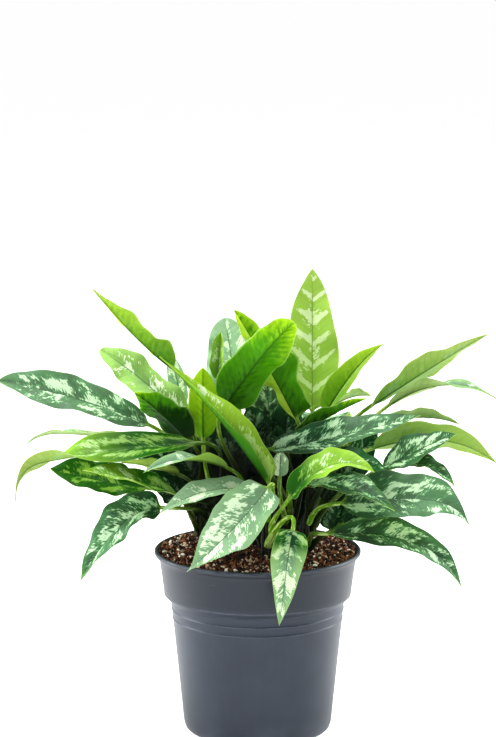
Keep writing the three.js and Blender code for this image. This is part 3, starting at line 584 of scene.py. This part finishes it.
def growLeaf(name, place, form, row, look, tree, skin, twist=0, bands=None, halves=(0.0, 0.0), lit=0.0):
    stand, height, base, tip, arch, bend, face, width, fold, *rest = form
    taper, widest, blunt, wave, hook = (*rest, *row["usual"][len(rest):])
    shape = Named(**leafShape)
    x, y, _ = cane["stands"][stand]
    up = Vector((0, 0, 1))
    axis = Vector((x, y, cane["datum"] + height))
    base, tip = Vector(base), Vector(tip)
    outward = Vector((base.x - axis.x, base.y - axis.y, 0)).normalized()
    chord = tip - base
    bow = base + chord * bend + up * (arch * chord.length)
    foot = axis + outward * (cane["radius"] - shape.stalkSeat)
    reach = (base - foot).length * shape.stalkReach
    lean = shape.leanLow + (shape.leanHigh - shape.leanLow) * height / shape.leanSpan
    leave = (outward * lean + up).normalized()
    arrive = (bow - base).normalized()
    lime, wash, cover, shade, backlit, dark = look
    return grow(name, tree, {
        "foot": foot * mm, "footReach": (foot + leave * reach) * mm, "baseReach": (base - arrive * reach) * mm,
        "base": base * mm, "bow": bow * mm, "tip": tip * mm, "face": Vector(face).normalized(),
        "twist": math.radians(twist), "width": width * mm, "fold": math.radians(fold), "taper": taper,
        "widest": widest, "blunt": blunt, "wave": wave, "hook": hook * chord.length * mm,
        "stalkLength": (base - foot).length * mm, "bladeLength": chord.length * (1 + arch * arch) * mm,
        "upperLook": (lime, wash, cover), "lowerLook": (backlit, dark, shade),
        "seed": place * row["seed"], "lit": lit, "bands": bands or (*row["bands"], place * row["shift"]),
        "halves": (*halves, 0.0), "skin": skin})


def growLeaves():
    tree, skin = leafGrowth(), leafSkin()
    for number, form in leafForms.items():
        leaf = growLeaf(f"leaf{number:02d}", number, form, leafRow, leafLooks[number], tree, skin,
                        leafTwists.get(number, 0), leafBands.get(number), leafHalfLight.get(number, (0.0, 0.0)),
                        leafLit.get(number, 0.0))
        onPlant(leaf, "leaf_skin", f"leaf_{number:02d}")
    for place, (letter, form) in enumerate(innerForms.items()):
        leaf = growLeaf(f"innerLeaf{letter}", place, form, innerRow, innerLook, tree, skin)
        onPlant(leaf, "leaf_skin")
    print("leaves grown:", len(leafForms) + len(innerForms))


growLeaves()

potShape = {
    # how far out and up each ring of the outline lies
    "rings": {
        "base": (60.0, 0.0), "foot": (68.6, 10.0), "wallTop": (80.0, 123.5), "step": (81.6, 123.5),
        "collarFoot": (86.5, 129.0), "collarTop": (90.6, 162.5), "rim": (95.0, 170.0), "floor": (60.0, 3.0),
    },
    "wallDrop": 1.5, "wallRows": (28, 50, 72, 92), "ridges": (106.5, 115.0), "ridgeDepth": 0.5,
    "ridge": ((0.0, -1.6), (0.35, -0.9), (0.9, -0.35), (1.0, 0.0), (0.85, 0.3), (0.25, 0.7), (0.0, 1.1)),
    "drains": 8, "drainRadius": 4.5, "drainRing": 42.0, "drillDepth": 20.0, "drainSides": 24, "sides": 144,
    "sharpFrom": 38,
}
# the outline below the wall, and then from the wall's top over the rim and down inside: the ring that each stretch
# belongs to, and how far out and up its points lie from there
potCurves = {
    "below": (
        ("base", ((-60, 0), (-6, 0), (0, 0), (2.8, 0.3), (5, 1.2), (6.6, 2.6))),
        ("foot", ((-1.1, -5.2), (-0.35, -2.6), (0, 0))),
    ),
    "above": (
        ("wallTop", ((0, -1.8), (0.3, -0.9))),
        ("step", ((-0.5, -0.2), (0.1, 0.3), (2.2, 2.4))),
        ("collarFoot", ((-1.3, -1.5), (-0.35, -0.7), (0, 0.3), (0.5, 6))),
        ("collarTop", ((-2.1, -15.5), (-0.3, -3), (0.3, 0.3), (1.6, 1.6))),
        ("rim", ((-1.1, -4.7), (-0.2, -3.6), (0, -2.4), (-0.2, -1.2), (-0.9, -0.4), (-1.8, 0), (-2.4, -0.1),
                 (-3.3, -0.8), (-4.0, -2.4), (-5.0, -4.8))),
        ("collarTop", ((-1.8, 1),)),
        ("collarFoot", ((-0.1, 14), (-1.8, 1), (-4.3, -0.5))),
        ("step", ((-1.8, 1),)),
        ("wallTop", ((-1.8, -3),)),
        ("foot", ((-1.8, 0), (-3.4, -4.6))),
        ("floor", ((3, 0), (-10, 0), (-60, 0))),
    ),
}
potPaint = {
    # the collar's colour in painted shade from the leaves
    "collar": rgb(12, 16, 27),
    # the plastic's random tones, its edges paler with wear and painted highlight, and dust
    "dark": rgb(29, 33, 45), "light": rgb(40, 46, 58), "edge": rgb(96, 102, 114), "dust": rgb(112, 116, 122),
}
# edges paler with wear and painted highlight: their heights and how far it reaches; and the heights over which the
# collar darkens with painted shade from the leaves
potWearAndLight = {"edges": ((168.5, 2.2), (129.1, 1.0), (123.7, 0.8), (115.0, 0.7), (106.5, 0.7)), "collar": (121.0, 136.0)}


def potOutline():
    p = Named(**potShape)
    (foot, footHeight), (wallTop, topHeight) = p.rings["foot"], p.rings["wallTop"]

    def wallAt(height):
        return foot + (wallTop - foot) * ((height - footHeight) / (topHeight - p.wallDrop - footHeight))

    def stretch(name):
        return [(p.rings[ring][0] + out, p.rings[ring][1] + up)
                for ring, points in potCurves[name] for out, up in points]

    ridges = [(wallAt(height + up) + p.ridgeDepth * out, height + up) for height in p.ridges for out, up in p.ridge]
    return [*stretch("below"), *[(wallAt(height), height) for height in p.wallRows], *ridges, *stretch("above")]


def onRing(radius, share, height=0.0):
    # the point at that share of the way around
    return Vector((radius * math.cos(share * math.tau), radius * math.sin(share * math.tau), height))


def turned(outline, sides):
    # a turned solid with its ends closed on the axis
    solid = bmesh.new()
    rings = [[solid.verts.new(onRing(radius * mm, n / sides, height * mm)) for n in range(sides if radius else 1)]
             for radius, height in outline]
    for low, high in zip(rings, rings[1:]):
        for n in range(sides):
            corners = [low[n % len(low)], low[(n + 1) % len(low)], high[(n + 1) % len(high)], high[n % len(high)]]
            solid.faces.new(list(dict.fromkeys(corners)))
    bmesh.ops.recalc_face_normals(solid, faces=solid.faces)
    return solid


def potSkin():
    skin, bench = newSkin("potPlastic")
    paint = Named(**potPaint)
    place = bench.ownPlace()
    x, y, z = place.split()
    streaks = bench.noise(bench.join(x * 260, y * 260, z * 9), 1.0, 3.0, 0.6)
    cloud = bench.noise(place, 14.0, 3.0, 0.6)
    specks = bench.noise(place, 900.0, 2.0, 0.5)
    scuffs = bench.noise(bench.join(x * 90, y * 90, z * 700), 1.0, 3.0, 0.7)
    heights = z / mm
    # edges and ridges paler with wear and painted highlight, broken up by scuffs
    edge = 0.0
    for at, reach in potWearAndLight["edges"]:
        edge = (1 - (abs(heights - at) / reach).least(1.0)).most(edge)
    wearAndHighlight = edge * scuffs.smooth(0.3, 0.62)
    scratch = scuffs.smooth(0.66, 0.72) * cloud.smooth(0.5, 0.62) * 0.22
    dusty = (1 - heights.smooth(2.0, 26.0)) * cloud.smooth(0.4, 0.7) * 0.2 + scratch + specks.smooth(0.68, 0.74) * 0.12
    # the collar painted darker: painted shade from the leaves above
    tone = bench.coat(
        paint.dark, ((cloud * 0.8 + streaks * 0.2).smooth(0.32, 0.68), paint.light),
        (heights.smooth(*potWearAndLight["collar"]) * 0.9, paint.collar), (wearAndHighlight * 0.55, paint.edge),
        (dusty.clamped(), paint.dust))
    finishSkin(bench, {
        "Base Color": tone, "Roughness": 0.4 + streaks * 0.05 + wearAndHighlight * 0.1 + scratch * 0.4,
        "Normal": bench.bump(specks * 0.3 + streaks * 0.08 + scuffs * 0.1, 0.0004, 0.2),
        "Specular IOR Level": 0.6, "Specular Tint": (0.82, 0.9, 1.0, 1.0)})
    return skin


def makePot():
    p = Named(**potShape)
    pot = newPiece("potShell", toMesh("potShell", turned(potOutline(), p.sides)), potSkin())
    drills = bmesh.new()
    for n in range(p.drains):
        made = bmesh.ops.create_cone(drills, cap_ends=True, segments=p.drainSides, radius1=p.drainRadius * mm,
                                     radius2=p.drainRadius * mm, depth=p.drillDepth * mm)
        bmesh.ops.translate(drills, verts=made["verts"], vec=onRing(p.drainRing * mm, (n + 0.5) / p.drains))
    drill = newPiece("drills", toMesh("drills", drills))
    cut = pot.modifiers.new("drains", "BOOLEAN")
    cut.operation, cut.object, cut.solver = "DIFFERENCE", drill, "EXACT"
    drilled = asBuilt(pot)
    pot.modifiers.clear()
    pot.data = drilled
    bpy.data.objects.remove(drill)
    smoothAll(drilled, p.sharpFrom)
    onPlant(pot, "pot_plastic", "pot")
    print("pot turned:", len(drilled.polygons), "faces")


makePot()

soilShape = {
    "edge": 168.5, "mound": 5.0, "relief": 1.2, "radius": 91.2, "rings": 44, "sides": 120,
    # the relief: two long waves with their starts, a short one across them and its share, and how it fades outwards
    "longX": (0.19, 1.3), "longY": (0.23, -0.4), "short": (0.41, 0.37), "shortShare": 0.6, "fade": 6,
}
# crumbs to a square metre, smallest and largest in mm, how finely the ball is cut, and its stretch
crumbs = {
    "small": {"count": 0.19e6, "size": (0.9, 2.3), "detail": 1, "stretch": (1.0, 1.0, 0.85), "seed": 4},
    "large": {"count": 0.055e6, "size": (2.0, 4.4), "detail": 2, "stretch": (1.0, 1.0, 0.85), "seed": 11},
    "chips": {"count": 0.03e6, "size": (1.8, 3.8), "detail": 1, "stretch": (1.9, 0.9, 0.45), "seed": 23},
}
# how every crumb differs: knobbed how much, and its own stretch between these; how big the ball is for its size,
# how far it stays off the wall, how high the bed lies over the soil, and how the dark tones outnumber the pale
crumbShape = {
    "knobs": 0.9, "least": (0.55, 0.6, 0.5), "most": (1.25, 1.1, 1.0), "ball": 0.6, "inset": 0.45, "bed": 0.1,
    "toneBend": 1.2,
}
soilPaint = [
    (0.0, rgb(32, 16, 10)), (0.35, rgb(74, 40, 27)), (0.58, rgb(120, 72, 50)), (0.74, rgb(158, 106, 78)),
    (0.86, rgb(206, 172, 150)), (0.93, rgb(246, 230, 220)), (1.0, rgb(255, 250, 246)),
]


def soilHeight(x, y):
    s = Named(**soilShape)
    share = math.hypot(x, y) / potShape["rings"]["collarTop"][0]
    relief = (math.sin(x * s.longX[0] + s.longX[1]) * math.cos(y * s.longY[0] + s.longY[1])
              + s.shortShare * math.sin(x * s.short[0] - y * s.short[1]))
    return s.edge + s.mound * (1 - share * share) + s.relief * relief * (1 - share ** s.fade)


def soilSkin():
    skin, bench = newSkin("pottingMix")
    place = bench.ownPlace()
    grain = bench.noise(place, 1400.0, 3.0, 0.65)
    fibre = bench.noise(place, 420.0, 3.0, 0.7)
    picked = (bench.read("crumbTone", "Fac") + (grain - 0.5) * 0.22).clamped()
    finishSkin(bench, {
        "Base Color": bench.stepped(picked, soilPaint), "Roughness": 0.72 + fibre * 0.2,
        "Normal": bench.bump(grain * 0.6 + fibre * 0.6, 0.0008, 0.6), "Specular IOR Level": 0.25})
    return skin


def crumbGrowth():
    shape = Named(**crumbShape)
    bench, g = newGrowth("crumbsOnSoil", {
        "Geometry": ("geometry",), "Float": ("perArea", "smallest", "largest"), "Int": ("detail", "seed"),
        "Vector": ("stretch",), "Material": ("skin",)})
    spread = bench.node("GeometryNodeDistributePointsOnFaces", {"distribute_method": "RANDOM"}, {
        "Mesh": g.geometry, "Density": g.perArea, "Seed": g.seed}, "Points")
    ball = bench.node("GeometryNodeMeshIcoSphere", {}, {"Radius": 1.0, "Subdivisions": g.detail}, "Mesh")
    rough = bench.noise(bench.node("GeometryNodeInputPosition"), 0.9, 1.0, 0.5, "Color") - (0.5, 0.5, 0.5)
    ball = bench.node("GeometryNodeSetPosition", {}, {"Geometry": ball, "Offset": rough * shape.knobs})

    def draw(kind, low, high, offset):
        # each crumb's own value; the node has sockets of its own for each kind
        first, out = (0, 0) if kind == "FLOAT_VECTOR" else (2, 1)
        return bench.node("FunctionNodeRandomValue", {"data_type": kind}, {
            first: low, first + 1: high, "Seed": g.seed + offset}, out)

    turn = draw("FLOAT_VECTOR", (0.0, 0.0, 0.0), (math.tau,) * 3, 1)
    size = draw("FLOAT", g.smallest, g.largest, 2)
    form = draw("FLOAT_VECTOR", shape.least, shape.most, 3)
    tone = draw("FLOAT", 0.0, 1.0, 4)
    crumb = bench.node("GeometryNodeInstanceOnPoints", {}, {
        "Points": bench.mark(spread, "crumbTone", tone ** shape.toneBend), "Instance": ball, "Rotation": turn,
        "Scale": form * g.stretch * size})
    finishGrowth(bench, crumb, g.skin)
    return bench.tree


def soilBed(inset):
    # the soil's top as a disc, for the crumbs to lie on
    s = Named(**soilShape)
    bed = bmesh.new()
    reach = s.radius - inset
    rows = [[bed.verts.new((0, 0, 0))]] + [
        [bed.verts.new(onRing(reach * r / s.rings, n / s.sides)) for n in range(s.sides)]
        for r in range(1, s.rings + 1)]
    for low, high in zip(rows, rows[1:]):
        for n in range(s.sides):
            m = (n + 1) % s.sides
            bed.faces.new(list(dict.fromkeys([low[n % len(low)], high[n], high[m], low[m % len(low)]])))
    for vert in bed.verts:
        x, y, _ = vert.co
        vert.co = Vector((x, y, soilHeight(x, y) + crumbShape["bed"])) * mm
    return bed


def makeSoil():
    skin, tree, shape = soilSkin(), crumbGrowth(), Named(**crumbShape)
    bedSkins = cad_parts["soil"].data.materials
    bedSkins.clear()
    bedSkins.append(skin)
    for kind, c in crumbs.items():
        smallest, largest = c["size"]
        piece = grow(kind + "Crumbs", tree, {
            "perArea": c["count"], "smallest": smallest * mm * shape.ball, "largest": largest * mm * shape.ball,
            "detail": c["detail"], "stretch": c["stretch"], "seed": c["seed"], "skin": skin,
        }, toMesh(kind + "Bed", soilBed(largest * shape.inset)))
        onPlant(piece, "potting_mix")
        print(kind, "crumbs:", len(piece.data.polygons), "faces")


makeSoil()

# each cane is a core wrapped in the sheaths of the leaf stalks
caneShape = {
    "depth": 30.0, "sheaths": 6, "sheathRing": 3.1, "sheathFoot": 2.9, "sheathTop": 1.9, "lean": 1.2, "spin": 0.35,
    "coreRadius": 3.6, "steps": 16, "sides": 12, "drawnFrom": 0.9, "drawn": 6, "sharpFrom": 60,
    # how far the sheaths differ: in their places around the core, their reach and their lean
    "places": (-0.2, 0.2), "reaches": (0.55, 0.97), "leans": (0.2, 1.0),
}
canePaint = {"green": rgb(84, 132, 28), "pale": rgb(190, 208, 140), "foot": rgb(128, 132, 78), "dark": rgb(20, 46, 10)}


def caneSkin():
    skin, bench = newSkin("caneSheaths")
    paint = Named(**canePaint)
    x, y, z = bench.ownPlace().split()
    rise = z / mm - cane["datum"]
    fibre = bench.noise(bench.join(x * 900, y * 900, z * 30), 1.0, 3.0, 0.6)
    cloud = bench.noise(bench.join(x * 260, y * 260, z * 40), 1.0, 2.0)
    tone = bench.coat(
        paint.green, (cloud.smooth(0.35, 0.62), paint.dark), (fibre.smooth(0.56, 0.66) * 0.6, paint.pale),
        ((1 - rise.smooth(6.0, 22.0)) * 0.6, paint.foot), (inHeart(x, y, z), leafPaint["shadow"]))
    finishSkin(bench, {"Base Color": tone, "Roughness": 0.42 + fibre * 0.15, "Specular IOR Level": 0.3,
                       "Normal": bench.bump(fibre, 0.0004, 0.4)})
    return skin


def addTube(solid, points, radii, sides):
    # a closed tube through the points
    rings = []
    for n, (point, radius) in enumerate(zip(points, radii)):
        way = (points[min(n + 1, len(points) - 1)] - points[max(n - 1, 0)]).normalized()
        side = way.cross(Vector((0, 1, 0))).normalized()
        front = side.cross(way)
        rings.append([solid.verts.new((point + (side * math.cos(turn) + front * math.sin(turn)) * radius) * mm)
                      for turn in (k / sides * math.tau for k in range(sides))])
    for low, high in zip(rings, rings[1:]):
        for n in range(sides):
            m = (n + 1) % sides
            solid.faces.new([low[n], low[m], high[m], high[n]])
    solid.faces.new(rings[0][::-1])
    solid.faces.new(rings[-1])


def makeCanes():
    skin, c = caneSkin(), Named(**caneShape)
    foot = cane["datum"] - c.depth
    for name, (x, y, top) in cane["stands"].items():
        draws = random.Random(name)
        solid = bmesh.new()
        start = draws.uniform(0, math.tau)
        for n in range(c.sheaths + 1):
            core = n == c.sheaths
            turn = start + n / c.sheaths * math.tau + draws.uniform(*c.places)
            ring = 0.0 if core else c.sheathRing
            reach = top if core else top * draws.uniform(*c.reaches)
            lean = 0.0 if core else c.lean * draws.uniform(*c.leans)
            base, end = (c.coreRadius,) * 2 if core else (c.sheathFoot, c.sheathTop)
            points, radii = [], []
            for step in range(c.steps + 1):
                share = step / c.steps
                out = ring + lean * share
                spin = turn + c.spin * share
                points.append(Vector((x + out * math.cos(spin), y + out * math.sin(spin),
                                      foot + (c.depth + reach) * share)))
                radii.append((base + (end - base) * share) * (1 - max(0.0, share - c.drawnFrom) * c.drawn))
            addTube(solid, points, radii, c.sides)
        bmesh.ops.recalc_face_normals(solid, faces=solid.faces)
        pieceName = f"cane{name.upper()}"
        mesh = toMesh(pieceName, solid)
        stalk = newPiece(pieceName, mesh, skin)
        smoothAll(mesh, c.sharpFrom)
        onPlant(stalk, "cane_skin", f"cane_{name}")
    print("canes:", len(cane["stands"]))


makeCanes()

studio = {
    "floorRadius": 40.0, "floorSides": 96, "floorPaint": (0.86, 0.86, 0.86, 1.0), "floorGlow": 0.6, "grain": 60.0,
    "skyStrength": 0.36, "exposure": 0.12, "gamma": 0.86,
    "cameraAt": (0.0, -2.431, 0.754), "lookAt": (-0.009, 0.033, 0.332), "lens": 132.4, "film": 36.0, "farthest": 200.0,
    # name: place, what it looks at, width, height, watts
    "lamps": {
        "overhead": ((0.0, 0.25, 2.0), (0, 0, 0.2), 1.1, 1.1, 37.0),
        "leftSoftbox": ((-1.5, 0.2, 0.6), (0, 0, 0.15), 0.9, 1.5, 36.0),
        "rightSoftbox": ((1.5, 0.45, 0.6), (0, 0, 0.15), 0.9, 1.5, 33.0),
        "frontFill": ((-1.0, -2.0, 1.5), (0, 0, 0.25), 1.0, 1.0, 12.0),
    },
}


def aim(holder, at, towards):
    holder.location = at
    holder.rotation_euler = (Vector(towards) - Vector(at)).to_track_quat("-Z", "Y").to_euler()


def makeStudio():
    s = Named(**studio)
    scene = bpy.context.scene
    disc = bmesh.new()
    bmesh.ops.create_circle(disc, cap_ends=True, radius=s.floorRadius, segments=s.floorSides)
    paper, bench = newSkin("floorPaper")
    finishSkin(bench, {
        "Base Color": s.floorPaint, "Roughness": 0.8 + bench.noise(bench.ownPlace(), s.grain) * 0.1,
        "Specular IOR Level": 0.2, "Emission Color": white, "Emission Strength": s.floorGlow})
    floor = newPiece("studioFloor", toMesh("studioFloor", disc), paper)

    for name, (at, towards, width, height, watts) in s.lamps.items():
        lamp = bpy.data.lights.new(name, "AREA")
        lamp.shape, lamp.size, lamp.size_y, lamp.energy = "RECTANGLE", width, height, watts
        holder = newPiece(name, lamp)
        aim(holder, at, towards)
        holder.visible_camera = False

    world = bpy.data.worlds.new("studioAir")
    world.use_nodes = True
    sky = world.node_tree.nodes["Background"].inputs
    sky["Color"].default_value, sky["Strength"].default_value = white, s.skyStrength
    scene.world = world

    eye = bpy.data.cameras.new("photoCamera")
    eye.lens, eye.sensor_width, eye.clip_end = s.lens, s.film, s.farthest
    scene.camera = newPiece("photoCamera", eye)
    aim(scene.camera, s.cameraAt, s.lookAt)
    scene.view_settings.view_transform = "Standard"
    scene.view_settings.exposure, scene.view_settings.gamma = s.exposure, s.gamma
    print("studio ready")


makeStudio()
